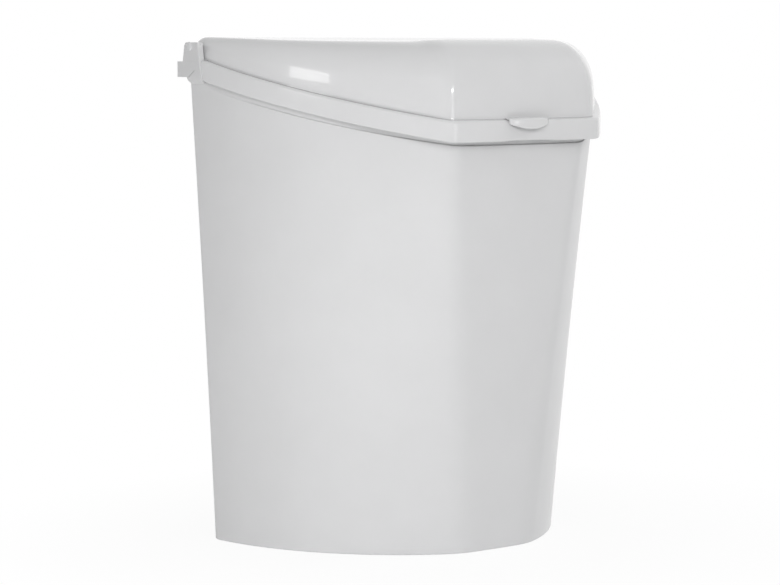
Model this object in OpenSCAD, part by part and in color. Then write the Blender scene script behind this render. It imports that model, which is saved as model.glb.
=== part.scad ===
// Door bin of about eight litres: a tapered bucket with a flat back, a bowed front and two
// upright ears, a rim frame that clips over its sloping mouth, a domed lid that swings up on
// two pins between the ears, and a wall rail whose arms hold the ears.
// X runs across the flat back, -Y points to the front and Z is up.
// The shapes are drawn from the middle of the flat back, and placed() moves them so that
// the origin is on the floor under the middle of the whole object.

/* [Bucket] */
// Width of the flat back at the floor
base_width = 249.1; // [200:0.1:300]
// Depth from the flat back to the front at the floor
base_depth = 141.6; // [110:0.1:170]
// Width of the front facet at the floor
base_facet = 56.1; // [40:0.1:90]
// Height at which the three mouth sizes below are taken
mouth_z = 265.6; // [220:0.1:300]
// Width of the flat back at that height
mouth_width = 275.6; // [240:0.1:340]
// Depth at that height
mouth_depth = 164.5; // [130:0.1:190]
// Width of the front facet at that height
mouth_facet = 103.3; // [70:0.1:140]
// How far the walls draw in at mid height
draw_in = 0.6; // [0:0.1:2]
// Thickness of the bucket's walls
wall = 2.2; // [1.6:0.1:3.2]
// Thickness of the bucket's floor
floor_t = 2.6; // [2:0.1:4]
// Depth of the recess under the floor
foot_h = 2; // [1:0.1:4]
// Width of the foot ring round that recess
foot_w = 5; // [3:0.5:9]
// How far the rim is set back from the wall below it
rebate = 1; // [0.9:0.1:1.1]
// How far that set-back rim reaches below the frame's lower edge
rebate_drop = 4; // [2:0.1:8]

/* [Outline] */
// Angle through which each bowed side of the bucket turns at the floor
turn_low = 63.4; // [45:0.1:70]
// Angle through which each bowed side of the bucket turns at the mouth
turn_high = 57.7; // [45:0.1:70]
// Angle through which each bowed side of the frame and the lid turns
rim_turn = 46.4; // [35:0.1:60]
// Extra bow of the frame's and the lid's sides towards the back
late_bow = 2; // [1.5:0.1:3.5]
// Length of the crease blend at the floor, each way from the corner
crease_low = 8.3; // [6:0.5:22]
// Length of the crease blend at the mouth, each way from the corner
crease_high = 5; // [3:0.5:14]
// Length of the blend at the two back corners at the floor
corner_low = 8.2; // [4:0.1:14]
// Length of the blend at the two back corners at the mouth
corner_high = 4.9; // [3:0.1:9]
// How far the middle of the front facet bows out
bow = 0.8; // [0:0.1:3]

/* [Rim frame] */
// Height of the frame's top edge at the front
frame_front_z = 275.9; // [260:0.1:300]
// Slope of the rim from the front to the back, as rise over run
rim_slope = 0.242; // [0.2:0.001:0.3]
// Height of the level stretch of the frame at the back
frame_back_z = 313; // [305:0.1:325]
// Height of the frame's outer face
band_h = 13; // [11:0.1:19]
// Thickness of the frame's outer skirt
skirt = 1.3; // [1.1:0.1:1.4]
// Thickness of the frame's ledge
ledge_t = 2; // [1.4:0.1:3]
// How far the frame's outer face stands out from the bucket at the front
stand_front = 5.9; // [4:0.1:9]
// How far the frame's outer face stands out from the bucket at the back corners
stand_back = 1; // [0.9:0.1:2]
// How much wider the frame's front facet is than the bucket's
facet_more = 16.2; // [4:0.1:24]
// Clearance between the frame and the bucket
frame_gap = 0.3; // [0.2:0.05:0.4]
// Depth of the inner skirt that clamps the bag
clamp_h = 8; // [5:0.5:12]
// Height of the lip round the frame's mouth
lip_h = 3.2; // [2.4:0.1:6]
// Thickness of that lip
lip_t = 1.6; // [1:0.1:2.4]
// Half width of the shallow finger relief in the frame's lower front edge
relief_half = 26; // [15:1:40]
// Height of that relief
relief_h = 0.7; // [0.3:0.1:1.5]
// Rounding of the frame's upper edge
rim_round = 1.8; // [0.6:0.1:2.4]

/* [Lid] */
// Height of the lid's top at its back corners
lid_z = 327.9; // [325:0.1:345]
// How far the middle of the lid's top is dished
dish = 1.5; // [0:0.1:4]
// How far the lid's top falls from the back to the front
top_fall = 1.2; // [0:0.1:6]
// How far the top rises again over the front facet
front_rise = 1.7; // [0:0.1:3]
// How far the lid's foot stands in from the frame's outer face
lid_inset = 4.3; // [3.5:0.1:6]
// Crown radius at the back of the lid
crown_back = 5.5; // [4:0.5:8]
// Crown radius at the front of the lid
crown_front = 30; // [15:1:40]
// Thickness of the lid
lid_t = 2; // [1.4:0.1:3]
// Running gap between the lid's foot and the frame's ledge
lid_gap = 0.3; // [0.2:0.05:0.6]
// Half width of the finger lip
lip_half = 19; // [12:0.5:30]
// How far the finger lip stands out from the lid
lip_out = 8.5; // [7.5:0.5:12]
// How far the finger lip hangs down over the frame
lip_drop = 6.4; // [3:0.1:9]

/* [Hinge] */
// Height of the hinge axis
hinge_z = 321.7; // [320:0.1:326]
// Distance of the hinge axis in front of the flat back
hinge_in = 5.3; // [4.5:0.1:9]
// Diameter of the hinge pins
pin_d = 3.2; // [2.4:0.1:4]
// Diameter of the pins' round heads
head_d = 6; // [5:0.1:8]
// Thickness of the pins' heads
head_t = 1.2; // [0.8:0.1:2]
// Outer diameter of the lid's hinge knuckles
knuckle_d = 8; // [6:0.1:9]
// How far the knuckles reach inside the lid's walls
knuckle_in = 6; // [4:0.5:10]
// Radial running clearance of a pin in its knuckle
pin_gap = 0.05; // [0.03:0.01:0.1]
// Radial clearance of a pin in its ear
ear_fit = 0.02; // [0.01:0.01:0.05]
// Thickness of the bucket's ears
ear_t = 3.3; // [2.8:0.1:4]
// How far the ears stand out from the frame's side
ear_out = 0.9; // [0.4:0.1:1.4]
// Reach of an ear in front of the hinge axis at its top
ear_fore_top = 9.3; // [6:0.1:12]
// Reach of an ear in front of the hinge axis at its foot
ear_fore_foot = 13.3; // [8:0.1:16]
// Reach of an ear behind the hinge axis
ear_aft = 7.6; // [6:0.1:10]
// Height of the ears' tops above the hinge axis
ear_over = 2.7; // [2.4:0.1:4.5]
// Depth of an ear's foot below the hinge axis
ear_foot = 23.7; // [20:0.1:28]
// How far an ear fades in towards the wall at its foot
ear_fade = 2.8; // [1:0.1:2.9]
// Side gap between a knuckle and its ear
ear_gap = 0.3; // [0.2:0.05:0.6]

/* [Wall rail] */
// Height of the rail's lower edge
rail_z = 302.2; // [296:0.1:306]
// Height of the rail
rail_h = 10; // [8:0.1:11]
// Gap between the flat back and the rail
rail_gap = 1.2; // [1:0.1:2]
// Depth of the rail from front to back
rail_depth = 7.4; // [6:0.1:12]
// Thickness of the rail's back plate and screw tabs
rail_t = 2; // [1.6:0.1:3]
// Thickness of the rail's two flanges
flange_t = 1.8; // [1.4:0.1:2.4]
// Thickness of the rail's arms
arm_t = 1.5; // [1:0.1:2]
// Reach of the arms in front of the hinge axis
arm_fore = 5.5; // [3:0.1:8]
// Length of the slant under the tip of each arm
arm_slant = 7; // [3:0.1:9]
// Clearance round the arms in the ears' pockets
arm_gap = 0.2; // [0.2:0.05:0.5]
// Distance between the two screw holes
screw_span = 120; // [80:1:200]
// Diameter of the screw holes
screw_d = 4.5; // [3.5:0.1:6]
// Diameter of the countersinks
sink_d = 8; // [7:0.1:10]
// Width of each screw tab
tab_w = 26; // [18:1:36]
// How far the screw tabs reach below the rail
tab_h = 14; // [12:1:26]

/* [Hidden] */
plastic = [0.816, 0.820, 0.828];
plastic_pin = [0.835, 0.838, 0.842];

// Points along each stretch of half an outline: facet, crease, side, corner, back
n_facet = 6;
n_crease = 5;
n_side = 14;
n_corner = 5;
n_back = 4;
crown_steps = 7;

// Share of an offset by which the end of the front facet shifts sideways
mitre = tan(16);
// Chamfer on the lid's foot, the frame's lower edge and the pins' tips
chamfer = 0.5;

// Frame, lid and ears are all sized from the bucket's rim
side_draft = (mouth_width - base_width) / 2 / mouth_z;
front_draft = (mouth_depth - base_depth) / mouth_z;
rim_half = mouth_width / 2 + side_draft * (frame_back_z - ledge_t - mouth_z) + flare(frame_back_z - ledge_t);
frame_half = rim_half + stand_back;
frame_depth = mouth_depth + front_draft * (frame_front_z - mouth_z) + stand_front;
frame_facet = mouth_facet + facet_more;
frame_back = -rebate + frame_gap + skirt;
lid_half = frame_half - lid_inset;
lid_depth = frame_depth - lid_inset;
lid_facet = frame_facet - 2 * lid_inset * mitre;
hinge_y = -hinge_in;
lid_back = hinge_y + crown_back;
ear_x = frame_half + ear_out;
ear_root = ear_x - ear_t - 0.7;
knuckle_x = lid_half - lid_t - knuckle_in;
knuckle_end = ear_x - ear_t - ear_gap;
clamp_in = wall + frame_gap;
mouth_in = clamp_in + skirt + lip_t + 1;
rail_back = rail_gap + rail_depth;
rail_top = rail_z + rail_h;
arm_x = ear_x - arm_t;
lip_front = lid_depth + lip_out + bow;
centre_y = (lip_front - rail_back) / 2;

function mix(a, b, t) = a + (b - a) * t;
function blend(a, m, b, t) = (1 - t) * (1 - t) * a + 2 * t * (1 - t) * m + t * t * b;

// How far a wall stands out from the straight line at height z: inwards at mid height
function flare(z) = let (t = z / mouth_z) -4 * draw_in * t * (1 - t);

// Point on a bowed side: from the facet's end p to the back corner q, at share t of its length.
// late moves it further out, most of all three quarters of the way to the back.
function side_point(p, q, turn, late, t) =
    let (
        run = q - p,
        chord = norm(run),
        radius = chord / 2 / sin(turn / 2),
        start = atan2(run.y, run.x) - turn / 2,
        heading = start + turn * t,
        swell = late * pow(t, 3) * (1 - t) * 256 / 27
    )
    p + radius * [sin(heading) - sin(start), cos(start) - cos(heading)] + swell * [run.y, -run.x] / chord;

// Right half of an outline from the middle of the front to the middle of the back.
// half: half the back's width, depth: front, facet: half the facet, back: y of the back
function half_outline(half, depth, facet, back, crease, corner, turn, late) =
    let (
        p = [facet, -depth],
        q = [half, back],
        reach = norm(q - p),
        crease_end = side_point(p, q, turn, late, crease / reach),
        corner_start = side_point(p, q, turn, late, 1 - corner / reach)
    )
    concat(
        [for (k = [0 : n_facet - 1]) let (x = (facet - crease) * k / n_facet)
            [x, -depth - bow * (1 - pow(x / facet, 2))]],
        [for (k = [0 : n_crease - 1]) blend([facet - crease, -depth - bow * (1 - pow(1 - crease / facet, 2))],
            p, crease_end, k / n_crease)],
        [for (k = [0 : n_side - 1])
            side_point(p, q, turn, late, mix(crease / reach, 1 - corner / reach, k / n_side))],
        [for (k = [0 : n_corner - 1]) blend(corner_start, q, [half - corner, back], k / n_corner)],
        [for (k = [0 : n_back]) [(half - corner) * (1 - k / n_back), back]]
    );

// Whole outline, anticlockwise from above
function outline(half, depth, facet, back, crease, corner, turn, late) =
    let (right = half_outline(half, depth, facet, back, crease, corner, turn, late), m = len(right))
    concat(right, [for (k = [m - 2 : -1 : 1]) [-right[k].x, right[k].y]]);

// Outline of the bucket at height z, moved out by o
function bucket_outline(z, o) =
    let (t = z / mouth_z, out = o + flare(z))
    outline(
        mix(base_width, mouth_width, t) / 2 + out,
        mix(base_depth, mouth_depth, t) + out,
        mix(base_facet, mouth_facet, t) / 2 + out * mitre,
        o,
        mix(crease_low, crease_high, min(t, 1)),
        mix(corner_low, corner_high, min(t, 1)),
        mix(turn_low, turn_high, t),
        0
    );

// Outlines of the frame's outer face and the lid's foot
function frame_outline(o) =
    outline(frame_half + o, frame_depth + o, frame_facet / 2 + o * mitre, frame_back + o,
        crease_high, corner_high, rim_turn, late_bow);
function lid_outline(o) =
    outline(lid_half + o, lid_depth + o, lid_facet / 2 + o * mitre, lid_back + o,
        crease_high, corner_high, rim_turn, late_bow);

// Height of the sloping rim over a point at depth y
function slope_z(y) = frame_front_z + rim_slope * (y + frame_depth);
function ledge_z(y) = min(slope_z(y), frame_back_z);
function foot_z(y) = slope_z(y) + lid_gap;
function step_z(y) = ledge_z(y) - band_h - rebate_drop;
function relief(x, y) = y > -mouth_depth ? 0 : relief_h * pow(max(0, 1 - pow(x / relief_half, 4)), 2);

function at_height(ring, z) = [for (p = ring) [p.x, p.y, z]];
function on_ledge(ring, drop) = [for (p = ring) [p.x, p.y, ledge_z(p.y) - drop]];
function on_band_edge(ring, rise) = [for (p = ring) [p.x, p.y, ledge_z(p.y) - band_h + rise + relief(p.x, p.y)]];

// Rings on the bucket's wall, moved out by o: at the rebate's step, and below the rim by drop
function wall_point(k, z, o) = concat(bucket_outline(z, o)[k], z);
function on_step(o, rise) = [for (k = [0 : outline_size - 1])
    wall_point(k, step_z(bucket_outline(mouth_z, o)[k].y) + rise, o)];
function on_rim(o, drop) = [for (k = [0 : outline_size - 1])
    wall_point(k, ledge_z(bucket_outline(mouth_z, o)[k].y) - drop, o)];
outline_size = 2 * (n_facet + n_crease + n_side + n_corner + n_back);

// Moves a piece from the drawing's zero at the flat back to the middle of the footprint
module placed() {
    translate([0, centre_y, 0]) children();
}

function middle(ring) = [for (axis = [0 : 2]) [for (p = ring) p[axis]] * [for (p = ring) 1] / len(ring)];

// Solid skinned over a list of rings of equal length; loop closes the last ring onto the first.
// The two ends are closed by fans round their hubs, which are the rings' middles if none are given.
module skin(rings, loop = false, hubs = []) {
    n = len(rings[0]);
    m = len(rings);
    points = [for (ring = rings) each ring];
    end_hubs = loop ? [] : len(hubs) > 0 ? hubs : [middle(rings[0]), middle(rings[m - 1])];
    walls = [for (k = [0 : m - (loop ? 1 : 2)], i = [0 : n - 1])
        let (a = k * n + i, b = k * n + (i + 1) % n, c = ((k + 1) % m) * n + i, d = ((k + 1) % m) * n + (i + 1) % n)
        each [[a, c, d], [a, d, b]]];
    ends = loop ? [] : [for (i = [0 : n - 1])
        each [[m * n, i, (i + 1) % n], [m * n + 1, (m - 1) * n + (i + 1) % n, (m - 1) * n + i]]];
    polyhedron(concat(points, end_hubs), concat(walls, ends), convexity = 8);
}

// Shell of the bucket: crisp bottom edge, recessed underside and a rim set back under the frame
module bucket_shell() {
    edge = 0.8;
    inner_fillet = 5;
    floor_z = foot_h + floor_t;
    rim_drop = ledge_t + frame_gap;
    skin(concat(
        [
            at_height(bucket_outline(0, -foot_w - 1), foot_h),
            at_height(bucket_outline(0, -foot_w), 0),
            at_height(bucket_outline(0, -edge), 0),
            at_height(bucket_outline(edge, 0), edge)
        ],
        [for (t = [0.2 : 0.2 : 0.8]) at_height(bucket_outline(t * mouth_z, 0), t * mouth_z)],
        [
            on_step(0, 0),
            on_step(-rebate, 0.5),
            on_rim(-rebate, rim_drop),
            on_rim(-wall, rim_drop)
        ],
        [for (t = [0.8 : -0.3 : 0.2]) at_height(bucket_outline(t * mouth_z, -wall), t * mouth_z)],
        [
            at_height(bucket_outline(floor_z + inner_fillet, -wall), floor_z + inner_fillet),
            at_height(bucket_outline(floor_z + 1.5, -wall - 1.5), floor_z + 1.5),
            at_height(bucket_outline(floor_z, -wall - inner_fillet), floor_z)
        ]
    ));
}

// Side view of an ear in (y, z), with its round top corners and its rounded foot
module ear_profile() {
    top = hinge_z + ear_over;
    low = hinge_z - ear_foot;
    back_r = 3;
    front_r = 1.6;
    foot_r = 4;
    foot_y = hinge_y + ear_aft - 4;
    union() {
        polygon([
            [hinge_y - ear_fore_foot, low], [foot_y - foot_r, low], [foot_y, low + foot_r],
            [foot_y, rail_z], [hinge_y + ear_aft, rail_z + 4], [hinge_y + ear_aft, rail_top + 1],
            [hinge_y + ear_aft - 1.6, hinge_z], [hinge_y + ear_aft - 1.6, top - back_r],
            [hinge_y + ear_aft - 1.6 - back_r, top], [hinge_y - ear_fore_top + front_r, top],
            [hinge_y - ear_fore_top, top - front_r]
        ]);
        translate([hinge_y + ear_aft - 1.6 - back_r, top - back_r]) circle(r = back_r, $fn = 48);
        translate([hinge_y - ear_fore_top + front_r, top - front_r]) circle(r = front_r, $fn = 32);
        translate([foot_y - foot_r, low + foot_r]) circle(r = foot_r, $fn = 48);
    }
}

// Side view of a rail arm in (y, z), with the slant under its tip
module arm_profile() {
    tip = hinge_y - arm_fore;
    polygon([
        [tip, rail_z + arm_slant * 0.6], [tip + arm_slant, rail_z], [rail_back, rail_z],
        [rail_back, rail_top], [tip, rail_top]
    ]);
}

// Extrudes a (y, z) profile along X from x0 to x1
module across(x0, x1) {
    translate([x0, 0, 0]) rotate([90, 0, 90]) linear_extrude(x1 - x0) children();
}

// Ear that runs out into the bucket's side at its foot, with a pocket for the rail's arm
module ear() {
    low = hinge_z - ear_foot;
    rim = frame_back_z - ledge_t - frame_gap;
    pocket = arm_t + arm_gap;
    difference() {
        intersection() {
            across(ear_root, ear_x) ear_profile();
            translate([0, rail_back, 0])
            rotate([90, 0, 0])
            linear_extrude(4 * ear_fore_foot)
                polygon([
                    [ear_root, low - 1], [ear_x - ear_fade, low - 1], [ear_x, low + 2.5 * ear_fade],
                    [ear_x, hinge_z + ear_over + 1], [ear_x - ear_t, hinge_z + ear_over + 1],
                    [ear_x - ear_t, rim], [ear_root, rim]
                ]);
        }
        across(ear_x - pocket, ear_x + 1)
            offset(delta = arm_gap) arm_profile();
        translate([0, hinge_y, hinge_z])
            rotate([0, 90, 0]) cylinder(d = pin_d + 2 * ear_fit, h = 2 * ear_x, $fn = 48);
    }
}

module bucket() {
    color(plastic)
    placed()
    union() {
        bucket_shell();
        ear();
        mirror([1, 0, 0]) ear();
    }
}

// Ring of the rim frame: outer band, ledge, mouth lip and the inner skirt that clamps the bag
module frame_ring() {
    skin([
        on_band_edge(frame_outline(0), chamfer),
        on_ledge(frame_outline(0), rim_round),
        on_ledge(frame_outline(-rim_round * 0.3), rim_round * 0.3),
        on_ledge(frame_outline(-rim_round), 0),
        on_rim(-mouth_in, chamfer),
        on_rim(-mouth_in, lip_h),
        on_rim(-mouth_in + lip_t, lip_h),
        on_rim(-mouth_in + lip_t, ledge_t),
        on_rim(-clamp_in - skirt, ledge_t),
        on_rim(-clamp_in - skirt, ledge_t + clamp_h),
        on_rim(-clamp_in, ledge_t + clamp_h),
        on_rim(-clamp_in, ledge_t),
        on_ledge(frame_outline(-skirt), ledge_t),
        on_band_edge(frame_outline(-skirt), 0),
        on_band_edge(frame_outline(-chamfer), 0)
    ], loop = true);
}

// Rim frame, cut back round the ears and, behind the rim, to a short lip
module rim_frame() {
    back_lip = 1;
    color(plastic)
    placed()
    difference() {
        frame_ring();
        for (side = [0, 1])
            mirror([side, 0, 0])
            across(ear_root - frame_gap, ear_x + 1)
            union() {
                offset(delta = frame_gap) ear_profile();
                translate([hinge_y - frame_gap, hinge_z - 2 * ear_foot]) square([rail_back, 2 * ear_foot]);
            }
        translate([-ear_x, -rebate + frame_gap - 0.2, rail_z - rail_h])
            cube([2 * ear_x, rail_back, frame_back_z - ledge_t - back_lip - rail_z + rail_h]);
    }
}

// Height of the lid's top surface: dished in the middle, raised again over the front facet
function top_z(x, y) =
    let (v = (lid_back - y) / (lid_depth + lid_back))
    lid_z - top_fall * v - 4 * dish * v * (1 - v) * (1 - pow(x / lid_half, 2))
        + front_rise * pow(v, 4) * max(0, 1 - pow(2 * x / lid_facet, 4));
function crown_r(y) = mix(crown_back, crown_front, (lid_back - y) / (lid_depth + lid_back));

// Ring on the lid's crown at angle a from the wall, s in from the outer skin
function crown_ring(a, s) =
    let (
        foot = lid_outline(-s),
        flat = outline(lid_half - crown_back, lid_depth - crown_front, lid_facet / 2 - crown_front * mitre,
            lid_back - crown_back, crease_high, corner_high, rim_turn, late_bow)
    )
    [for (k = [0 : len(foot) - 1])
        let (
            r = crown_r(lid_outline(0)[k].y) - s,
            p = mix(foot[k], flat[k], 1 - cos(a)),
            z = top_z(p.x, p.y) - s - r * (1 - sin(a))
        ) [p.x, p.y, z]];

// Ring inside the flat of the top, shrunk to share t
function top_ring(t, s) = [for (p = crown_ring(90, s)) let (q = [p.x * t, mix(-lid_depth / 2, p.y, t)])
    [q.x, q.y, top_z(q.x, q.y) - s]];
function foot_ring(o, rise) = [for (p = lid_outline(o)) [p.x, p.y, foot_z(p.y) + rise]];

// Crescent finger lip at the front of the lid's foot
module finger_lip() {
    steps = 12;
    root = lid_t / 2;
    thick = 1.3;
    front_z = foot_z(-lid_depth);
    rings = [for (k = [0 : steps])
        let (
            u = 2 * k / steps - 1,
            reach = lip_out * (1 - 0.2 * u * u) + bow,
            low = lip_drop * (1 - 0.35 * u * u),
            x = lip_half * u
        ) [
            [x, -lid_depth + root, front_z + 3],
            [x, -lid_depth - reach + 1.5, front_z + 1.2 - low * 0.3],
            [x, -lid_depth - reach, front_z - low * 0.6],
            [x, -lid_depth - reach, front_z - low],
            [x, -lid_depth - reach + thick, front_z - low],
            [x, -lid_depth - reach + thick + 0.4, front_z + 1.2 - low * 0.3 - thick],
            [x, -lid_depth + root, front_z + 0.3]
        ]
    ];
    skin(rings, hubs = [for (ring = [rings[0], rings[steps]]) (ring[1] + ring[5]) / 2]);
}

module lid() {
    color(plastic)
    placed()
    difference() {
        union() {
            skin(concat(
                [for (t = [0.25, 0.6]) top_ring(t, lid_t)],
                [for (k = [crown_steps : -1 : 0]) crown_ring(90 * k / crown_steps, lid_t)],
                [foot_ring(-lid_t, 0), foot_ring(-chamfer, 0), foot_ring(0, chamfer)],
                [for (k = [0 : crown_steps]) crown_ring(90 * k / crown_steps, 0)],
                [for (t = [0.6, 0.25]) top_ring(t, 0)]
            ));
            finger_lip();
            for (side = [-1, 1])
                translate([side > 0 ? knuckle_x : -knuckle_end, hinge_y, hinge_z])
                    rotate([0, 90, 0]) cylinder(d = knuckle_d, h = knuckle_end - knuckle_x, $fn = 48);
        }
        for (side = [-1, 1])
            translate([side > 0 ? knuckle_x - 1 : -knuckle_end - 1, hinge_y, hinge_z])
                rotate([0, 90, 0]) cylinder(d = pin_d + 2 * pin_gap, h = knuckle_end - knuckle_x + 2, $fn = 48);
    }
}

// Stepped pin with a domed head outside its ear; side is 1 at +X and -1 at -X
module hinge_pin(side) {
    length = ear_x - knuckle_x - 2;
    color(plastic_pin)
    placed()
    translate([side * ear_x, hinge_y, hinge_z])
    rotate([0, side * 90, 0])
    rotate_extrude($fn = 48)
        polygon([
            [0, -length], [pin_d / 2 - chamfer, -length], [pin_d / 2, -length + chamfer], [pin_d / 2, 0],
            [head_d / 2, 0], [head_d / 2, head_t * 0.5], [head_d / 2 * 0.8, head_t * 0.86], [0, head_t]
        ]);
}

module hinge_pin_left() {
    hinge_pin(-1);
}

module hinge_pin_right() {
    hinge_pin(1);
}

// Channel of the wall rail with its two screw tabs, between the end blocks
module rail_channel() {
    hole_z = rail_z - tab_h + 6;
    difference() {
        union() {
            translate([-ear_root, rail_gap, rail_z]) cube([2 * ear_root, rail_depth, rail_h]);
            for (side = [-1, 1])
                translate([side * screw_span / 2 - tab_w / 2, rail_back - rail_t, rail_z - tab_h])
                    cube([tab_w, rail_t, tab_h + 1]);
        }
        translate([-ear_root + flange_t, rail_gap - 1, rail_z + flange_t])
            cube([2 * (ear_root - flange_t), rail_depth - rail_t + 1, rail_h - 2 * flange_t]);
        for (side = [-1, 1])
            translate([side * screw_span / 2, rail_back, hole_z]) rotate([90, 0, 0]) {
                translate([0, 0, -1]) cylinder(d = screw_d, h = rail_t + 2, $fn = 32);
                translate([0, 0, rail_t - (sink_d - screw_d) / 2])
                    cylinder(d1 = screw_d, d2 = sink_d + 0.2, h = (sink_d - screw_d) / 2 + 0.1, $fn = 32);
            }
    }
}

// End of the rail: a block behind the ear and an arm that lies in the ear's pocket
module rail_end() {
    block_y = hinge_y + ear_aft + arm_gap;
    translate([ear_x - ear_t - 1, block_y, rail_z]) cube([ear_t + 1, rail_back - block_y, rail_h]);
    across(arm_x, ear_x) arm_profile();
}

module wall_rail() {
    color(plastic)
    placed()
    union() {
        rail_channel();
        rail_end();
        mirror([1, 0, 0]) rail_end();
    }
}

bucket();
rim_frame();
lid();
hinge_pin_left();
hinge_pin_right();
wall_rail();
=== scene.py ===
import math

import bmesh
import bpy
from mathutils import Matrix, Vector

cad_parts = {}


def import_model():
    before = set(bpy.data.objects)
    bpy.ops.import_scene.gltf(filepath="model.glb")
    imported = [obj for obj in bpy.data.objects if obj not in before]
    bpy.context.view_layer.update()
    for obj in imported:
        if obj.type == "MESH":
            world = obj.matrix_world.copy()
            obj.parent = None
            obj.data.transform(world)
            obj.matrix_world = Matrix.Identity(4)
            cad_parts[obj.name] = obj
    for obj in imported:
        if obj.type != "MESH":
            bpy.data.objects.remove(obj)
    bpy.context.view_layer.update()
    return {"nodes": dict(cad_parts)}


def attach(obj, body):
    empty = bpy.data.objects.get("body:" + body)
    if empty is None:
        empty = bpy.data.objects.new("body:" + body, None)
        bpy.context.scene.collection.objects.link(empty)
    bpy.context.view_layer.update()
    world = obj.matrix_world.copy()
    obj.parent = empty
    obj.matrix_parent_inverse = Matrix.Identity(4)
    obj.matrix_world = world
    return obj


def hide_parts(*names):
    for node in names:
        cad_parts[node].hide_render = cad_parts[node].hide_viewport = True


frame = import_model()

# Sizes, in millimetres, with angles in degrees turned into radians

# Bucket at its base and at its mouth's lowest edge; the facet is the flat front
BASE_WIDTH, BASE_DEPTH, BASE_FACET = 249.1, 141.6, 56.1
MOUTH_WIDTH, MOUTH_DEPTH, MOUTH_FACET = 275.6, 164.5, 103.3
MOUTH_Z = 265.6
DRAW_IN = 0.6
WALL = 2.2
FLOOR_T, FLOOR_FILLET = 2.6, 5.0
FOOT_H, FOOT_W = 2.0, 5.0
BASE_EDGE = 0.9

# Step in the wall that the band hangs over, and how it fades towards the ears
REBATE, REBATE_DROP = 1.0, 4.0
RECESS_RUN, RECESS_BACK = 70.0, 0.15
STEP_CLIMB, STEP_UNDER_RIM, STEP_TUCK = 3.0, 1.5, 1.0

# Bow of the sides as a turn over their length, and of the front facet
TURN_LOW, TURN_HIGH, RIM_TURN = (math.radians(v) for v in (63.4, 57.7, 46.4))
LATE_BOW, BOW = 2.0, 0.8

# Rounding of the front creases and of the back corners, at the base and at the mouth
CREASE_LOW, CREASE_HIGH = 8.3, 5.0
CORNER_LOW, CORNER_HIGH = 8.2, 4.9

# How far the facet's ends move sideways for each millimetre that an outline is moved out
MITRE = math.tan(math.radians(16))

# Rim frame: a sloping ledge, the band outside, a lip and a clamp skirt inside
FRAME_FRONT_Z, FRAME_BACK_Z = 275.9, 313.0
RIM_SLOPE = 0.242
BAND_H, BAND_LEAN = 13.0, 0.32
SKIRT, LEDGE_T = 1.3, 2.0
STAND_FRONT, STAND_BACK = 5.9, 1.0
FACET_MORE = 16.2
FRAME_GAP = 0.3
CLAMP_H = 8.0
LIP_H, LIP_T, LIP_APART = 3.2, 1.6, 1.0
RELIEF_HALF, RELIEF_H = 26.0, 0.7
RIM_ROUND = 1.8
CHAMFER = 0.5
CUT_EDGE = 0.3

# Lid: its top is dished and sags, its side leans in, its foot flares a little
LID_Z = 327.9
DISH, TOP_FALL, FRONT_RISE, SAG = 1.5, 1.2, 1.7, 1.15
LID_INSET, LID_BEHIND = 4.3, 5.5
CROWN_BACK, CROWN_FRONT = 6.4, 30.0
CROWN_START = math.radians(6)
LID_T = 2.0
LID_GAP, LID_EDGE = 0.03, 0.12
LEAN, FOOT_FLARE = 1.0, 0.14

# Crescent finger lip
LIP_HALF_SEEN, LIP_OUT = 16.0, 8.5
LIP_DROP, LIP_END_RISE = 6.4, 3.2
LIP_PLATE, LIP_CLEAR = 1.0, 0.15
LIP_CREST, LIP_END_CREST = 0.9, 0.3

# Hinge axis, knuckles and pins
HINGE_Z, HINGE_IN = 321.7, 5.3
KNUCKLE_D, KNUCKLE_IN = 5.4, 6.0
PIN_D, PIN_GAP = 3.2, 0.05

# Ears, with their reach from the axis to the front, the back, above and below
EAR_T, EAR_OUT, EAR_SUNK = 3.3, 0.9, 0.7
EAR_FORE_TOP, EAR_FORE_FOOT = 9.3, 13.3
EAR_AFT, EAR_OVER, EAR_FOOT = 7.6, 2.7, 23.7
EAR_BACK_R, EAR_FRONT_R, EAR_FOOT_R = 3.0, 1.6, 4.0
EAR_FOOT_IN, EAR_TOP_IN, EAR_ABOVE_RAIL = 4.0, 1.6, 1.0
EAR_FADE, EAR_FADE_H = 3.5, 7.0
EAR_GAP, SEAM = 0.3, 0.08
EAR_EDGE = 0.4

# Wall rail and the arms that sit in the ears' pockets
RAIL_Z, RAIL_H = 302.2, 10.0
RAIL_GAP, RAIL_DEPTH = 1.2, 7.4
ARM_T, ARM_FORE, ARM_SLANT = 1.5, 5.5, 7.0
ARM_GAP, ARM_SLANT_GAP = 0.06, 0.3
SLANT_RISE = 0.6

# What a cut reaches past the surface that it opens
PAST = 1.0


def flare(z):
    """How far a wall stands out from the straight line at height z: inwards at mid height."""
    t = z / MOUTH_Z
    return -4 * DRAW_IN * t * (1 - t)


SIDE_DRAFT = (MOUTH_WIDTH - BASE_WIDTH) / 2 / MOUTH_Z
FRONT_DRAFT = (MOUTH_DEPTH - BASE_DEPTH) / MOUTH_Z
RIM_Z = FRAME_BACK_Z - LEDGE_T
RIM_HALF = MOUTH_WIDTH / 2 + SIDE_DRAFT * (RIM_Z - MOUTH_Z) + flare(RIM_Z)
FRAME_HALF = RIM_HALF + STAND_BACK
FRAME_DEPTH = MOUTH_DEPTH + FRONT_DRAFT * (FRAME_FRONT_Z - MOUTH_Z) + STAND_FRONT
FRAME_FACET = MOUTH_FACET + FACET_MORE
FRAME_BACK = -REBATE + FRAME_GAP + SKIRT
LID_HALF = FRAME_HALF - LID_INSET
LID_DEPTH = FRAME_DEPTH - LID_INSET
LID_FACET = FRAME_FACET - 2 * LID_INSET * MITRE
HINGE_Y = -HINGE_IN
LID_BACK = HINGE_Y + LID_BEHIND
EAR_X = FRAME_HALF + EAR_OUT
EAR_ROOT = EAR_X - EAR_T - EAR_SUNK
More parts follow.
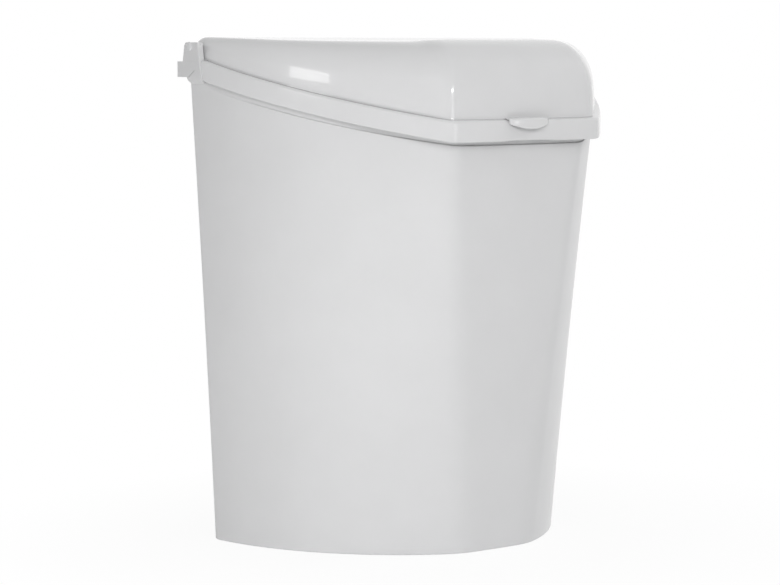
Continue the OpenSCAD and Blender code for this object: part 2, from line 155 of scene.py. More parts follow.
KNUCKLE_X = LID_HALF - LID_T - KNUCKLE_IN
KNUCKLE_END = EAR_X - EAR_T - EAR_GAP
CLAMP_IN = WALL + FRAME_GAP
MOUTH_IN = CLAMP_IN + SKIRT + LIP_T + LIP_APART
RAIL_BACK = RAIL_GAP + RAIL_DEPTH
RAIL_TOP = RAIL_Z + RAIL_H
STEP_END = HINGE_Y - EAR_FORE_FOOT + STEP_TUCK
CENTRE_Y = (LID_DEPTH + LIP_OUT + BOW - RAIL_BACK) / 2

# Points along half an outline
N_FACET, N_CREASE, N_SIDE, N_CORNER, N_BACK = 10, 10, 56, 12, 10
FILLET_STEPS, CROWN_STEPS, INNER_CROWN_STEPS = 4, 14, 8
LIP_STEPS, TUBE_STEPS = 28, 40


# Outlines
def mix(a, b, t):
    return a + (b - a) * t


def clamp(t):
    return min(1.0, max(0.0, t))


def ease(t):
    """Smooth step from 0 to 1."""
    return t * t * (3 - 2 * t)


def quarter(n):
    """Angles of a quarter turn in n steps."""
    return [math.pi / 2 * k / n for k in range(n + 1)]


def blend(a, m, b, t):
    """Point on the curve from a to b that is drawn towards m."""
    return tuple((1 - t) * (1 - t) * a[i] + 2 * t * (1 - t) * m[i] + t * t * b[i] for i in (0, 1))


def side_point(p, q, turn, late, t):
    """Point on a bowed side from the facet's end p to the back corner q.

    The side is an arc that swells by late at three quarters of its way.
    """
    dx, dy = q[0] - p[0], q[1] - p[1]
    chord = math.hypot(dx, dy)
    radius = chord / 2 / math.sin(turn / 2)
    start = math.atan2(dy, dx) - turn / 2
    heading = start + turn * t
    swell = late * t ** 3 * (1 - t) * 256 / 27
    return (p[0] + radius * (math.sin(heading) - math.sin(start)) + swell * dy / chord,
            p[1] + radius * (math.cos(start) - math.cos(heading)) - swell * dx / chord)


def half_outline(half, depth, facet, back, crease, corner, turn, late):
    """Right half of an outline from the front's middle round to the back's middle."""
    p, q = (facet, -depth), (half, back)
    reach = math.hypot(q[0] - p[0], q[1] - p[1])
    crease_end = side_point(p, q, turn, late, crease / reach)
    corner_start = side_point(p, q, turn, late, 1 - corner / reach)
    crease_start = (facet - crease, -depth - BOW * (1 - (1 - crease / facet) ** 2))
    points = []
    for k in range(N_FACET):
        x = (facet - crease) * k / N_FACET
        points.append((x, -depth - BOW * (1 - (x / facet) ** 2)))
    points += [blend(crease_start, p, crease_end, k / N_CREASE) for k in range(N_CREASE)]
    points += [side_point(p, q, turn, late, mix(crease / reach, 1 - corner / reach, k / N_SIDE))
               for k in range(N_SIDE)]
    points += [blend(corner_start, q, (half - corner, back), k / N_CORNER) for k in range(N_CORNER)]
    points += [((half - corner) * (1 - k / N_BACK), back) for k in range(N_BACK + 1)]
    return points


def outline(*sizes):
    """Whole closed outline, the left half mirrored from the right one."""
    right = half_outline(*sizes)
    return right + [(-x, y) for x, y in reversed(right[1:-1])]


def bucket_outline(z, o):
    """Bucket's outline at height z, moved out by o."""
    t = z / MOUTH_Z
    out = o + flare(z)
    return outline(mix(BASE_WIDTH, MOUTH_WIDTH, t) / 2 + out, mix(BASE_DEPTH, MOUTH_DEPTH, t) + out,
                   mix(BASE_FACET, MOUTH_FACET, t) / 2 + out * MITRE, o,
                   mix(CREASE_LOW, CREASE_HIGH, min(t, 1)), mix(CORNER_LOW, CORNER_HIGH, min(t, 1)),
                   mix(TURN_LOW, TURN_HIGH, t), 0)


def frame_outline(o):
    return outline(FRAME_HALF + o, FRAME_DEPTH + o, FRAME_FACET / 2 + o * MITRE, FRAME_BACK + o,
                   CREASE_HIGH, CORNER_HIGH, RIM_TURN, LATE_BOW)


def lid_outline(o):
    return outline(LID_HALF + o, LID_DEPTH + o, LID_FACET / 2 + o * MITRE, LID_BACK + o,
                   CREASE_HIGH, CORNER_HIGH, RIM_TURN, LATE_BOW)


def slope_z(y):
    return FRAME_FRONT_Z + RIM_SLOPE * (y + FRAME_DEPTH)


def ledge_z(y):
    return min(slope_z(y), FRAME_BACK_Z)


def foot_z(y):
    """Height of the lid's foot: along the ledge, and behind the hinge axis on an arc round it."""
    if y <= HINGE_Y:
        return ledge_z(y) + LID_GAP
    reach = HINGE_Z - FRAME_BACK_Z - LID_GAP
    behind = min(y - HINGE_Y, reach - 1)
    return HINGE_Z - math.sqrt(reach ** 2 - behind ** 2)


def step_z(y):
    """Height of the rebate's step; behind the ears' front it climbs to just under the rim."""
    low, high = ledge_z(y) - BAND_H - REBATE_DROP, RIM_Z - FRAME_GAP - STEP_UNDER_RIM
    return mix(low, high, clamp((y - STEP_END) / STEP_CLIMB))


def recess(y):
    """Share of the rebate's depth: full at the front, shallow where the band ends at the ears."""
    return mix(RECESS_BACK, 1, ease(clamp((STEP_END - y) / RECESS_RUN)))


def relief(x, y):
    """How far the band's lower edge is raised in the middle of the front."""
    if y > -MOUTH_DEPTH:
        return 0.0
    return RELIEF_H * max(0.0, 1 - (x / RELIEF_HALF) ** 4) ** 2


def at_height(ring, z):
    return [(x, y, z) for x, y in ring]


def on_ledge(ring, drop):
    """Outline laid under the sloping ledge by drop."""
    return [(x, y, ledge_z(y) - drop) for x, y in ring]


def on_band_edge(ring, rise):
    """Outline laid over the band's lower edge by rise."""
    return [(x, y, ledge_z(y) - BAND_H + rise + relief(x, y)) for x, y in ring]


def wall_point(k, z, o):
    """Point k of the bucket's outline at height z, moved out by o."""
    return bucket_outline(z, o)[k]


def on_wall(o, height, fade=False):
    """Ring on the bucket's wall, moved out by o; height gives z at each point's depth.

    With fade the offset shrinks towards the ears.
    """
    ring = []
    for k, (_, y) in enumerate(bucket_outline(MOUTH_Z, o)):
        out = o * recess(y) if fade else o
        z = height(wall_point(k, height(y), out)[1])
        ring.append((*wall_point(k, z, out), z))
    return ring


def top_z(x, y):
    """Height of the lid's top: dished in the middle, raised again over the front facet."""
    v = (LID_BACK - y) / (LID_DEPTH + LID_BACK)
    front = v ** 4 * max(0, 1 - (2 * x / LID_FACET) ** 8)
    sag = SAG * ease(clamp(2 * v)) * (1 - front)
    return (LID_Z - TOP_FALL * v - 4 * DISH * v * (1 - v) * (1 - (x / LID_HALF) ** 2)
            + FRONT_RISE * front - sag)


def crown_r(y):
    """Radius of the crown, growing from back to front."""
    return mix(CROWN_BACK, CROWN_FRONT, (LID_BACK - y) / (LID_DEPTH + LID_BACK))


LID_FOOT = lid_outline(0)
LID_FLAT = outline(LID_HALF - CROWN_BACK, LID_DEPTH - CROWN_FRONT, LID_FACET / 2 - CROWN_FRONT * MITRE,
                   LID_BACK - CROWN_BACK, CREASE_HIGH, CORNER_HIGH, RIM_TURN, LATE_BOW)


def crown_angle(k, steps):
    """Angle of ring k round the crown, 90 degrees at the top."""
    return mix(CROWN_START, math.pi / 2, k / steps)


def crown_ring(a, s):
    """Ring round the crown at angle a, on a surface s inside the outer one."""
    foot = lid_outline(-s - LEAN)
    share = (math.cos(CROWN_START) - math.cos(a)) / math.cos(CROWN_START)
    ring = []
    for f, flat, base in zip(foot, LID_FLAT, LID_FOOT):
        r = crown_r(base[1]) - s
        x, y = mix(f[0], flat[0], share), mix(f[1], flat[1], share)
        ring.append((x, y, top_z(x, y) - s - r * (1 - math.sin(a)) / (1 - math.sin(CROWN_START))))
    return ring


def top_ring(t, s):
    """Ring on the flat of the top, t of the way from its middle to the crown."""
    ring = []
    for x, y, _ in crown_ring(math.pi / 2, s):
        qx, qy = x * t, mix(-LID_DEPTH / 2, y, t)
        ring.append((qx, qy, top_z(qx, qy) - s))
    return ring


def foot_ring(o, rise):
    """Ring at the lid's foot, moved out by o and raised."""
    return [(x, y, foot_z(y) + rise) for x, y in lid_outline(o)]


def lean_ring(t):
    """Ring on the lid's side, t of the way from its foot to the crown, leaning in more and more."""
    return [(x, y, mix(foot_z(y), crown[2], t))
            for (x, y), crown in zip(lid_outline(-LEAN * t * t), crown_ring(CROWN_START, 0))]


def arc(n=FILLET_STEPS):
    """Shares (along, across) of a quarter fillet, without its two ends."""
    return [(math.sin(a), 1 - math.cos(a)) for a in quarter(n)[1:-1]]


def whole_arc(n=FILLET_STEPS):
    """The same shares with both ends."""
    return [(0.0, 0.0)] + arc(n) + [(1.0, 1.0)]


# Meshes
def mesh_object(name, verts, faces):
    """Smooth-shaded object from points in millimetres, with y measured from the bucket's back."""
    data = bpy.data.meshes.new(name)
    data.from_pydata([(x / 1000, (y + CENTRE_Y) / 1000, z / 1000) for x, y, z in verts], [], faces)
    data.validate()
    bm = bmesh.new()
    bm.from_mesh(data)
    bmesh.ops.recalc_face_normals(bm, faces=bm.faces)
    bm.to_mesh(data)
    bm.free()
    obj = bpy.data.objects.new(name, data)
    bpy.context.scene.collection.objects.link(obj)
    for p in data.polygons:
        p.use_smooth = True
    return obj


def loft(name, rings, loop=False, flat_ends=False):
    """Skin over rings of equal length: closed on itself, or with fans or single faces at both ends."""
    n, m = len(rings[0]), len(rings)
    verts = [p for ring in rings for p in ring]
    faces = []
    for k in range(m if loop else m - 1):
        for i in range(n):
            j = (i + 1) % n
            faces.append((k * n + i, k * n + j, ((k + 1) % m) * n + j, ((k + 1) % m) * n + i))
    if flat_ends:
        faces += [tuple(range(n))[::-1], tuple(range((m - 1) * n, m * n))]
    elif not loop:
        for k in (0, m - 1):
            ring = rings[k]
            verts.append(tuple(sum(p[a] for p in ring) / n for a in range(3)))
            c = len(verts) - 1
            faces += [(c, k * n + i, k * n + (i + 1) % n) for i in range(n)]
    return mesh_object(name, verts, faces)


def weighted(obj, sharp_angle=math.radians(50)):
    """Even shading: normals weighted by face area, with edges past the angle kept sharp."""
    obj.data.set_sharp_from_angle(angle=sharp_angle)
    mod = obj.modifiers.new("normals", "WEIGHTED_NORMAL")
    mod.mode = "FACE_AREA"
    mod.weight = 50
    mod.keep_sharp = True
    return obj


def bevelled(obj, width, segments=3, angle=math.radians(40)):
    """Rounded edges, wherever two faces meet at more than the angle."""
    mod = obj.modifiers.new("edges", "BEVEL")
    mod.width = width / 1000
    mod.segments = segments
    mod.limit_method = "ANGLE"
    mod.angle_limit = angle
    mod.harden_normals = True
    return obj


# Materials: the noise patterns of the plastic by scale, and how far they change colour and gloss
MOTTLE_SCALE, GLOSS_SCALE, PEEL_SCALE, GRAIN_SCALE = 26, 60, 140, 2400
DARKER, LIGHTER = 0.982, 1.014
GLOSSIER, DULLER = 0.85, 1.2


def plastic(name, colour, roughness, grain, coat):
    """Moulded plastic: faint mottled colour, uneven gloss and a fine moulded grain."""
    mat = bpy.data.materials.new(name)
    mat.use_nodes = True
    nodes, links = mat.node_tree.nodes, mat.node_tree.links
    shader = nodes["Principled BSDF"]
    shader.inputs["IOR"].default_value = 1.49
    shader.inputs["Coat Weight"].default_value = coat
    shader.inputs["Coat Roughness"].default_value = 0.04
    place = nodes.new("ShaderNodeTexCoord")

    def noise(scale, detail, rough=0.55):
        node = nodes.new("ShaderNodeTexNoise")
        node.inputs["Scale"].default_value = scale
        node.inputs["Detail"].default_value = detail
        node.inputs["Roughness"].default_value = rough
        links.new(place.outputs["Object"], node.inputs["Vector"])
        return node.outputs["Fac"]

    ramp = nodes.new("ShaderNodeValToRGB")
    ramp.color_ramp.elements[0].position = 0.3
    ramp.color_ramp.elements[0].color = (*[c * DARKER for c in colour], 1)
    ramp.color_ramp.elements[1].position = 0.7
    ramp.color_ramp.elements[1].color = (*[min(1, c * LIGHTER) for c in colour], 1)
    links.new(noise(MOTTLE_SCALE, 4), ramp.inputs["Fac"])
    links.new(ramp.outputs["Color"], shader.inputs["Base Color"])

    gloss = nodes.new("ShaderNodeMapRange")
    gloss.inputs["To Min"].default_value = roughness * GLOSSIER
    gloss.inputs["To Max"].default_value = roughness * DULLER
    links.new(noise(GLOSS_SCALE, 6, 0.6), gloss.inputs["Value"])
    links.new(gloss.outputs["Result"], shader.inputs["Roughness"])

    fine = nodes.new("ShaderNodeBump")
    fine.inputs["Strength"].default_value = grain
    fine.inputs["Distance"].default_value = 0.0002
    links.new(noise(GRAIN_SCALE, 2), fine.inputs["Height"])
    peel = nodes.new("ShaderNodeBump")
    peel.inputs["Strength"].default_value = 0.05
    peel.inputs["Distance"].default_value = 0.0006
    links.new(noise(PEEL_SCALE, 2), peel.inputs["Height"])
    links.new(fine.outputs["Normal"], peel.inputs["Normal"])
    links.new(peel.outputs["Normal"], shader.inputs["Normal"])
    return mat


GREY = (0.648, 0.649, 0.655)
MATERIALS = {
    "bucket_plastic": plastic("bucket_plastic", GREY, 0.30, 0.10, 0.25),
    "frame_plastic": plastic("frame_plastic", GREY, 0.24, 0.06, 0.8),
    "lid_plastic": plastic("lid_plastic", GREY, 0.24, 0.06, 0.8),
    "pin_plastic": plastic("pin_plastic", (0.66, 0.664, 0.672), 0.28, 0.08, 0.3),
    "rail_plastic": plastic("rail_plastic", GREY, 0.32, 0.12, 0.2),
}


def dress(obj, slot, body, *replaced):
    """Give a piece its material, its body and the CAD nodes that it stands for."""
    obj.data.materials.clear()
    obj.data.materials.append(MATERIALS[slot])
    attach(obj, body)
    if replaced:
        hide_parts(*replaced)
    return obj


# Bucket
def bucket():
    """Shell of the bucket: foot, wall with its step, sloping rim, inside wall and floor."""
    floor_z = FOOT_H + FLOOR_T
    rim_drop = LEDGE_T + FRAME_GAP
    rings = [at_height(bucket_outline(0, -FOOT_W - 1), FOOT_H),
             at_height(bucket_outline(0, -FOOT_W - 0.4), FOOT_H * 0.8),
             at_height(bucket_outline(0, -FOOT_W), 0.3),
             at_height(bucket_outline(0, -FOOT_W + 0.4), 0),
             at_height(bucket_outline(0, -BASE_EDGE), 0)]
    for along, across in arc():
        out, z = -BASE_EDGE * (1 - along), BASE_EDGE * across
        rings.append(at_height(bucket_outline(z, out), z))
    outside_heights = (BASE_EDGE, 3, 8, 20, 50, 90, 130, 170, 205, 235)
    rings += [at_height(bucket_outline(z, 0), z) for z in outside_heights]
    rings += [on_wall(0, lambda y, drop=drop: step_z(y) - drop) for drop in (12, 3, 0.4)]
    rings += [on_wall(out, lambda y, rise=rise: step_z(y) + rise, True)
              for out, rise in ((-0.12, -0.08), (-0.4, 0), (-REBATE, 0.3), (-REBATE, 2))]
    rings += [on_wall(out, lambda y, drop=drop: ledge_z(y) - rim_drop - drop)
              for out, drop in ((-REBATE, 0.3), (-REBATE - 0.3, 0), (-WALL + 0.3, 0), (-WALL, 0.3))]
    inside_heights = (235, 150, 60, floor_z + FLOOR_FILLET)
    rings += [at_height(bucket_outline(z, -WALL), z) for z in inside_heights]
    for along, across in arc(5):
        z = floor_z + FLOOR_FILLET * (1 - along)
        rings.append(at_height(bucket_outline(z, -WALL - FLOOR_FILLET * across), z))
    rings.append(at_height(bucket_outline(floor_z, -WALL - FLOOR_FILLET), floor_z))
    return weighted(loft("bucket_shell", rings))


# Rim frame
def band_rings():
    """Rings of the rim frame: up the band's face, over the ledge, round the lip and the clamp skirt."""
    rings = [on_band_edge(frame_outline(-SKIRT), 0), on_band_edge(frame_outline(-SKIRT * 0.6), 0)]
    for along, across in whole_arc():
        rings.append(on_band_edge(frame_outline(-CHAMFER * (1 - along)), CHAMFER * across))
    rings.append(on_band_edge(frame_outline(0), 1.5))
    for lean, drop in ((0, 7.5), (0.2, 5.2), (0.55, 3.6), (0.85, 2.5)):
        rings.append(on_ledge(frame_outline(-BAND_LEAN * lean), drop))
    for along, across in whole_arc(6):
        rings.append(on_ledge(frame_outline(-BAND_LEAN - RIM_ROUND * across), RIM_ROUND * (1 - along)))
    rings.append(on_ledge(frame_outline(-BAND_LEAN - RIM_ROUND - 1), 0))
    inside = ((-MOUTH_IN + 0.4, 0), (-MOUTH_IN, 0.4), (-MOUTH_IN, LIP_H), (-MOUTH_IN + LIP_T, LIP_H),
              (-MOUTH_IN + LIP_T, LEDGE_T), (-CLAMP_IN - SKIRT, LEDGE_T),
              (-CLAMP_IN - SKIRT, LEDGE_T + CLAMP_H), (-CLAMP_IN, LEDGE_T + CLAMP_H), (-CLAMP_IN, LEDGE_T))
    rings += [on_wall(out, lambda y, drop=drop: ledge_z(y) - drop) for out, drop in inside]
    return rings + [on_ledge(frame_outline(-SKIRT), LEDGE_T)]


def cut(obj, tool):
    """Boolean difference, done at once, and the tool removed."""
    mod = obj.modifiers.new("cut", "BOOLEAN")
    mod.operation = "DIFFERENCE"
    mod.solver = "EXACT"
    mod.object = tool
    depsgraph = bpy.context.evaluated_depsgraph_get()
    data = bpy.data.meshes.new_from_object(obj.evaluated_get(depsgraph))
    obj.modifiers.clear()
    obj.data = data
    bpy.data.objects.remove(tool, do_unlink=True)
    for p in obj.data.polygons:
        p.use_smooth = True
    return obj


def ear_profile(grow=0.0):
    """Outline of an ear in (y, z), grown by a clearance: rounded top corners and a rounded foot."""
    top, low = HINGE_Z + EAR_OVER + grow, HINGE_Z - EAR_FOOT - grow
    back = HINGE_Y + EAR_AFT + grow
    back_r, front_r, foot_r = EAR_BACK_R + grow, EAR_FRONT_R + grow, EAR_FOOT_R + grow
    foot_y = back - EAR_FOOT_IN
    points = [(HINGE_Y - EAR_FORE_FOOT - grow, low)]
    points += [(foot_y - foot_r + foot_r * math.sin(a), low + foot_r - foot_r * math.cos(a))
               for a in quarter(8)]
    points += [(foot_y, RAIL_Z), (back, RAIL_Z + EAR_FOOT_IN),
               (back, RAIL_TOP + EAR_ABOVE_RAIL), (back - EAR_TOP_IN, HINGE_Z)]
    points += [(back - EAR_TOP_IN - back_r + back_r * math.cos(a), top - back_r + back_r * math.sin(a))
               for a in quarter(12)[1:]]
    points += [(HINGE_Y - EAR_FORE_TOP - grow + front_r - front_r * math.sin(a),
                top - front_r + front_r * math.cos(a)) for a in quarter(8)]
    return points


def arm_profile(grow, slant_grow):
    """Outline of the pocket round a rail arm in (y, z), with the slant under the arm's tip."""
    tip, low = HINGE_Y - ARM_FORE - grow, RAIL_Z - grow
    rise = ARM_SLANT * SLANT_RISE
    return [(tip, low + rise - slant_grow), (tip + ARM_SLANT - slant_grow, low),
            (RAIL_BACK, low), (RAIL_BACK, RAIL_TOP + grow), (tip, RAIL_TOP + grow)]


def prism(name, profile, low, high, place):
    """Solid between two planes; place turns a profile point and a plane into (x, y, z)."""
    n = len(profile)
    verts = [place(u, v, w) for w in (low, high) for u, v in profile]
    faces = [tuple(range(n))[::-1], tuple(range(n, 2 * n))]
    faces += [(i, (i + 1) % n, n + (i + 1) % n, n + i) for i in range(n)]
    return mesh_object(name, verts, faces)


def plate(name, profile, x0, x1):
    """Flat plate between two x planes, with its profile in (y, z)."""
    return prism(name, profile, x0, x1, lambda y, z, x: (x, y, z))


def fore_and_aft(name, profile, y0, y1):
    """Prism between two y planes, with its profile in (x, z)."""
    return prism(name, profile, y0, y1, lambda x, z, y: (x, y, z))


def bar(name, low, high):
    """Box between two corners."""
    x0, y0, z0 = low
    x1, y1, z1 = high
    return plate(name, [(y0, z0), (y1, z0), (y1, z1), (y0, z1)], x0, x1)


# Lid
def lid_shell():
    """Shell of the lid: inside from the middle of the top to the foot, then up the outside."""
    rings = [top_ring(t, LID_T) for t in (0.05, 0.3, 0.6, 0.85)]
    rings += [crown_ring(crown_angle(k, INNER_CROWN_STEPS), LID_T) for k in range(INNER_CROWN_STEPS, -1, -1)]
    rings += [foot_ring(-LID_T, 0.3), foot_ring(-LID_T + 0.3, 0), foot_ring(FOOT_FLARE - LID_EDGE, 0)]
    for along, across in arc():
        rings.append(foot_ring(FOOT_FLARE - LID_EDGE * (1 - along), LID_EDGE * across))
    rings += [foot_ring(FOOT_FLARE, LID_EDGE), foot_ring(FOOT_FLARE * 0.35, 0.7), foot_ring(0, 1.4)]
    rings += [lean_ring(t) for t in (0.2, 0.35, 0.5, 0.65, 0.8, 0.92)]
    rings += [crown_ring(crown_angle(k, CROWN_STEPS), 0) for k in range(CROWN_STEPS + 1)]
    rings += [top_ring(t, 0) for t in (0.97, 0.9, 0.8, 0.7, 0.55, 0.4, 0.25, 0.1)]
    return weighted(loft("lid_shell", rings))


def finger_lip():
    """Crescent lip: over the ledge, then hooked down in front of the band, flush with it at both ends."""
    rest = LID_INSET + LIP_CLEAR
    z = foot_z(-LID_DEPTH)
    rings = []
    for k in range(LIP_STEPS + 1):
        u = 2 * k / LIP_STEPS - 1
        x = LIP_HALF_SEEN * u
        face = -LID_DEPTH - BOW * (1 - (2 * x / LID_FACET) ** 2)
        root = face + BOW + LID_T / 2
        t = LIP_PLATE * (1 - 0.45 * u ** 4)
        tip = face - mix(rest + t, LIP_OUT, max(0, 1 - u * u) ** 0.8)
        drop = LIP_DROP - LIP_END_RISE * u * u
        crest, end = z + mix(LIP_CREST, LIP_END_CREST, u ** 4), z - drop
        over = [(root, crest), (face - 1.0, crest), (tip + 1.8, crest - 0.15), (tip + 0.7, crest - 0.55)]
        front = [(tip + 0.15, z - 0.8), (tip, z - drop * 0.6), (tip, end + 0.3)]
        under = [(tip + t * 0.3, end), (tip + t * 0.7, end), (tip + t, end + 0.3), (tip + t, z - 1.4)]
        back = [(face - rest, z - 0.85), (face - 2.5, z - 0.4), (root, z + 0.2)]
        rings.append([(x, y, height) for y, height in over + front + under + back])
    return weighted(loft("finger_lip", rings, flat_ends=True), math.radians(60))


def tube(name, x0, x1, outer, inner):
    """Short tube along X on the hinge axis, with softly broken edges."""
    edge = 0.35
    profile = [(x0, inner), (x0, outer - edge), (x0 + edge, outer),
               (x1 - edge, outer), (x1, outer - edge), (x1, inner)]
    turns = [2 * math.pi * k / TUBE_STEPS for k in range(TUBE_STEPS)]
    rings = [[(x, HINGE_Y + r * math.cos(a), HINGE_Z + r * math.sin(a)) for a in turns] for x, r in profile]
    return weighted(loft(name, rings, loop=True))


# Ears
def ear(label, side):
    """Ear of the bucket: fades into the wall at its foot and has a pocket for the rail's arm."""
    low = HINGE_Z - EAR_FOOT
    x0, x1 = sorted((side * EAR_ROOT, side * EAR_X))
    obj = plate("ear_" + label, ear_profile(), x0, x1)
    fade = [(EAR_X - EAR_FADE * share, low + rise)
            for share, rise in ((1, -PAST), (0.55, 0.5), (0.22, 2.4), (0.06, 4.5), (0, EAR_FADE_H))]
    fade += [(EAR_X + PAST, low + EAR_FADE_H), (EAR_X + PAST, low - PAST)]
    cut(obj, fore_and_aft("fade", [(side * x, z) for x, z in fade], -40, 20))
    x0, x1 = sorted((side * (EAR_X - ARM_T - ARM_GAP), side * (EAR_X + PAST)))
    return cut(obj, plate("pocket", arm_profile(ARM_GAP, ARM_SLANT_GAP), x0, x1))


def rim_frame():
    """Rim frame, cut back round the ears and, behind the rim, to a short lip."""
    obj = loft("frame_band", band_rings(), loop=True)
    below = HINGE_Z - 2 * EAR_FOOT
    for side in (-1, 1):
        x0, x1 = sorted((side * (EAR_ROOT - FRAME_GAP), side * (EAR_X + PAST)))
        cut(obj, plate("ear_room", ear_profile(SEAM), x0, x1))
        cut(obj, bar("back_room", (x0, HINGE_Y - FRAME_GAP, below), (x1, RAIL_BACK, HINGE_Z)))
    cut(obj, bar("back_cut", (-EAR_X, -CLAMP_IN + 0.1, RAIL_Z - RAIL_H), (EAR_X, RAIL_BACK, RIM_Z - 1)))
    return obj


dress(bucket(), "bucket_plastic", "bucket", "bucket")
dress(weighted(bevelled(rim_frame(), CUT_EDGE, 2)), "frame_plastic", "bucket", "rim_frame")
dress(lid_shell(), "lid_plastic", "lid", "lid")
dress(finger_lip(), "lid_plastic", "lid")
for side, label in ((-1, "left"), (1, "right")):
    dress(weighted(bevelled(ear(label, side), EAR_EDGE)), "bucket_plastic", "bucket")
    x0, x1 = sorted((side * KNUCKLE_X, side * KNUCKLE_END))
    dress(tube("knuckle_" + label, x0, x1, KNUCKLE_D / 2, PIN_D / 2 + PIN_GAP), "lid_plastic", "lid")

for node, slot in (("hinge_pin_left", "pin_plastic"), ("hinge_pin_right", "pin_plastic"),
                   ("wall_rail", "rail_plastic")):
    obj = frame["nodes"][node]
    obj.data.materials.clear()
    obj.data.materials.append(MATERIALS[slot])

# Floor, light and camera
FLOOR_SIZE, FLOOR_DROP = 12.0, 0.0003

# The floor shows the object's shadow near it, and is plain white farther out, in metres
SHADOW_NEAR, SHADOW_FAR = 0.12, 0.32
SHADOW_GLOW = 0.92

# How bright the dome is as a light, while it is seen as plain white
DOME_STRENGTH = 0.36


def floor_material():
    """White floor: it lights the object by its own colour, and the camera and mirrors see it glow white."""
    mat = bpy.data.materials.new("white_floor")
    mat.use_nodes = True
    nodes, links = mat.node_tree.nodes, mat.node_tree.links
    nodes.clear()
    out = nodes.new("ShaderNodeOutputMaterial")
    paper = nodes.new("ShaderNodeBsdfDiffuse")
    paper.inputs["Color"].default_value = (0.92, 0.92, 0.92, 1)
    glow = nodes.new("ShaderNodeEmission")
    glow.inputs["Color"].default_value = (1, 1, 1, 1)
    glow.inputs["Strength"].default_value = 1.0
    path = nodes.new("ShaderNodeLightPath")
    seen = nodes.new("ShaderNodeMath")
    seen.operation = "MAXIMUM"
    links.new(path.outputs["Is Camera Ray"], seen.inputs[0])
    links.new(path.outputs["Is Glossy Ray"], seen.inputs[1])
    place = nodes.new("ShaderNodeTexCoord")
    away = nodes.new("ShaderNodeVectorMath")
    away.operation = "LENGTH"
    links.new(place.outputs["Object"], away.inputs[0])
    whiter = nodes.new("ShaderNodeMapRange")
    whiter.inputs["From Min"].default_value = SHADOW_NEAR
    whiter.inputs["From Max"].default_value = SHADOW_FAR
    whiter.inputs["To Min"].default_value = SHADOW_GLOW
    whiter.inputs["To Max"].default_value = 1.0
    links.new(away.outputs["Value"], whiter.inputs["Value"])
    share = nodes.new("ShaderNodeMath")
    share.operation = "MULTIPLY"
    links.new(seen.outputs[0], share.inputs[0])
    links.new(whiter.outputs["Result"], share.inputs[1])
    both = nodes.new("ShaderNodeMixShader")
    links.new(share.outputs[0], both.inputs["Fac"])
    links.new(paper.outputs["BSDF"], both.inputs[1])
    links.new(glow.outputs["Emission"], both.inputs[2])
    links.new(both.outputs["Shader"], out.inputs["Surface"])
    return mat


bpy.ops.mesh.primitive_grid_add(x_subdivisions=4, y_subdivisions=4, size=FLOOR_SIZE,
                                location=(0, 0, -FLOOR_DROP))
floor = bpy.context.object
floor.name = "floor"
floor.data.materials.append(floor_material())


def world():
    """White surroundings for the camera and for reflections, and a dimmer white dome for the light."""
    w = bpy.data.worlds.new("tent")
    bpy.context.scene.world = w
    w.use_nodes = True
    nodes, links = w.node_tree.nodes, w.node_tree.links
    nodes.clear()
    out = nodes.new("ShaderNodeOutputWorld")
    dome = nodes.new("ShaderNodeBackground")
    dome.inputs["Color"].default_value = (1, 1, 1, 1)
    dome.inputs["Strength"].default_value = DOME_STRENGTH
    white = nodes.new("ShaderNodeBackground")
    white.inputs["Color"].default_value = (1, 1, 1, 1)
    white.inputs["Strength"].default_value = 1.0
    path = nodes.new("ShaderNodeLightPath")
    both = nodes.new("ShaderNodeMixShader")
    seen = nodes.new("ShaderNodeMath")
    seen.operation = "MAXIMUM"
    links.new(path.outputs["Is Camera Ray"], seen.inputs[0])
    links.new(path.outputs["Is Glossy Ray"], seen.inputs[1])
    links.new(seen.outputs[0], both.inputs["Fac"])
    links.new(dome.outputs["Background"], both.inputs[1])
    links.new(white.outputs["Background"], both.inputs[2])
    links.new(both.outputs["Shader"], out.inputs["Surface"])


world()

# Middle of the object, in metres
TARGET = Vector((0, 0, 0.17))


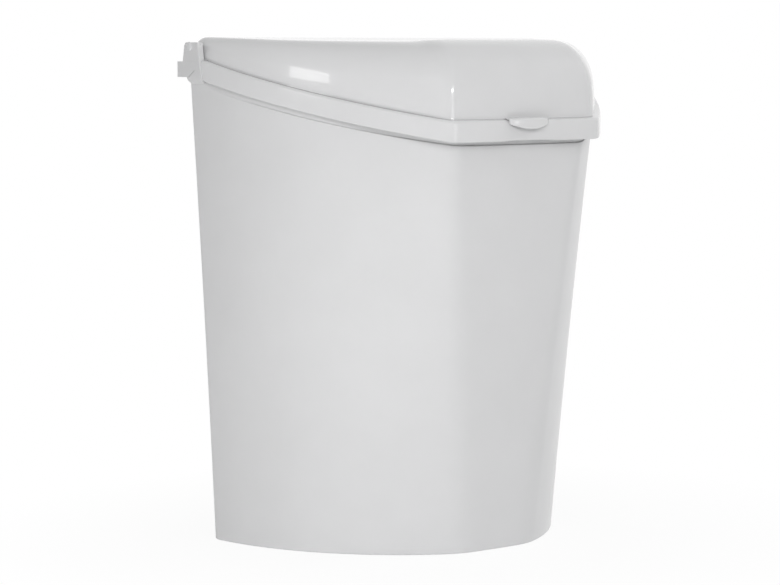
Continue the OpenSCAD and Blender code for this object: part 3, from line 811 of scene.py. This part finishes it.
def lamp_at(name, azimuth, elevation, distance, width, height, power):
    """Rectangular lamp on a sphere round the object, facing it; azimuth 0 is in front."""
    a, e = math.radians(azimuth), math.radians(elevation)
    lamp = bpy.data.lights.new(name, "AREA")
    lamp.shape = "RECTANGLE"
    lamp.size, lamp.size_y = width, height
    lamp.energy = power
    obj = bpy.data.objects.new(name, lamp)
    towards = Vector((math.sin(a) * math.cos(e), -math.cos(a) * math.cos(e), math.sin(e)))
    obj.location = TARGET + distance * towards
    obj.rotation_euler = (TARGET - obj.location).to_track_quat("-Z", "Y").to_euler()
    obj.visible_camera = False
    bpy.context.scene.collection.objects.link(obj)
    return obj


def softbox(*place_size_power):
    """Lamp that lights the object and leaves no mirror image on it."""
    lamp_at(*place_size_power).visible_glossy = False


def glint(*place_size_power):
    """Lamp that is only mirrored by the plastic, as the photo's small crisp highlights are."""
    lamp_at(*place_size_power).visible_diffuse = False


# Azimuth and elevation in degrees, then distance, width and height in metres, and power in watts
softbox("top_box", -20, 80, 1.6, 1.0, 1.0, 2.2)
softbox("key_box", -36, 26, 1.6, 1.1, 0.4, 8.4)
softbox("right_box", 68, 30, 1.9, 0.9, 1.0, 9)
softbox("low_box", -54, -14, 0.6, 0.9, 0.06, 1.0)
glint("left_glint", -87, 14.2, 1.8, 0.42, 0.19, 1.1)
glint("crease_glint", 6, 13.6, 2.0, 0.5, 0.12, 2.4)
glint("crease_line", 6, 3.5, 2.0, 0.42, 0.25, 0.5)

# Camera fitted to the photo: focal length and picture width in pixels, place in metres, angles in degrees
FOCAL_LENGTH, PHOTO_WIDTH = 2570.911, 780
SENSOR_WIDTH = 36.0
EYE_X, EYE_Y, EYE_Z = -1.056973, -1.386464, 0.321768
LOOK_DOWN, LOOK_RIGHT = 5.467, 37.954

cam = bpy.data.cameras.new("photo_view")
cam.sensor_fit = "HORIZONTAL"
cam.sensor_width = SENSOR_WIDTH
cam.lens = SENSOR_WIDTH * FOCAL_LENGTH / PHOTO_WIDTH
cam.clip_end = 100
eye = bpy.data.objects.new("photo_view", cam)
eye.location = (EYE_X, EYE_Y + CENTRE_Y / 1000, EYE_Z)
eye.rotation_euler = (math.radians(90 - LOOK_DOWN), 0, math.radians(-LOOK_RIGHT))
bpy.context.scene.collection.objects.link(eye)
bpy.context.scene.camera = eye
bpy.context.scene.view_settings.view_transform = "Standard"
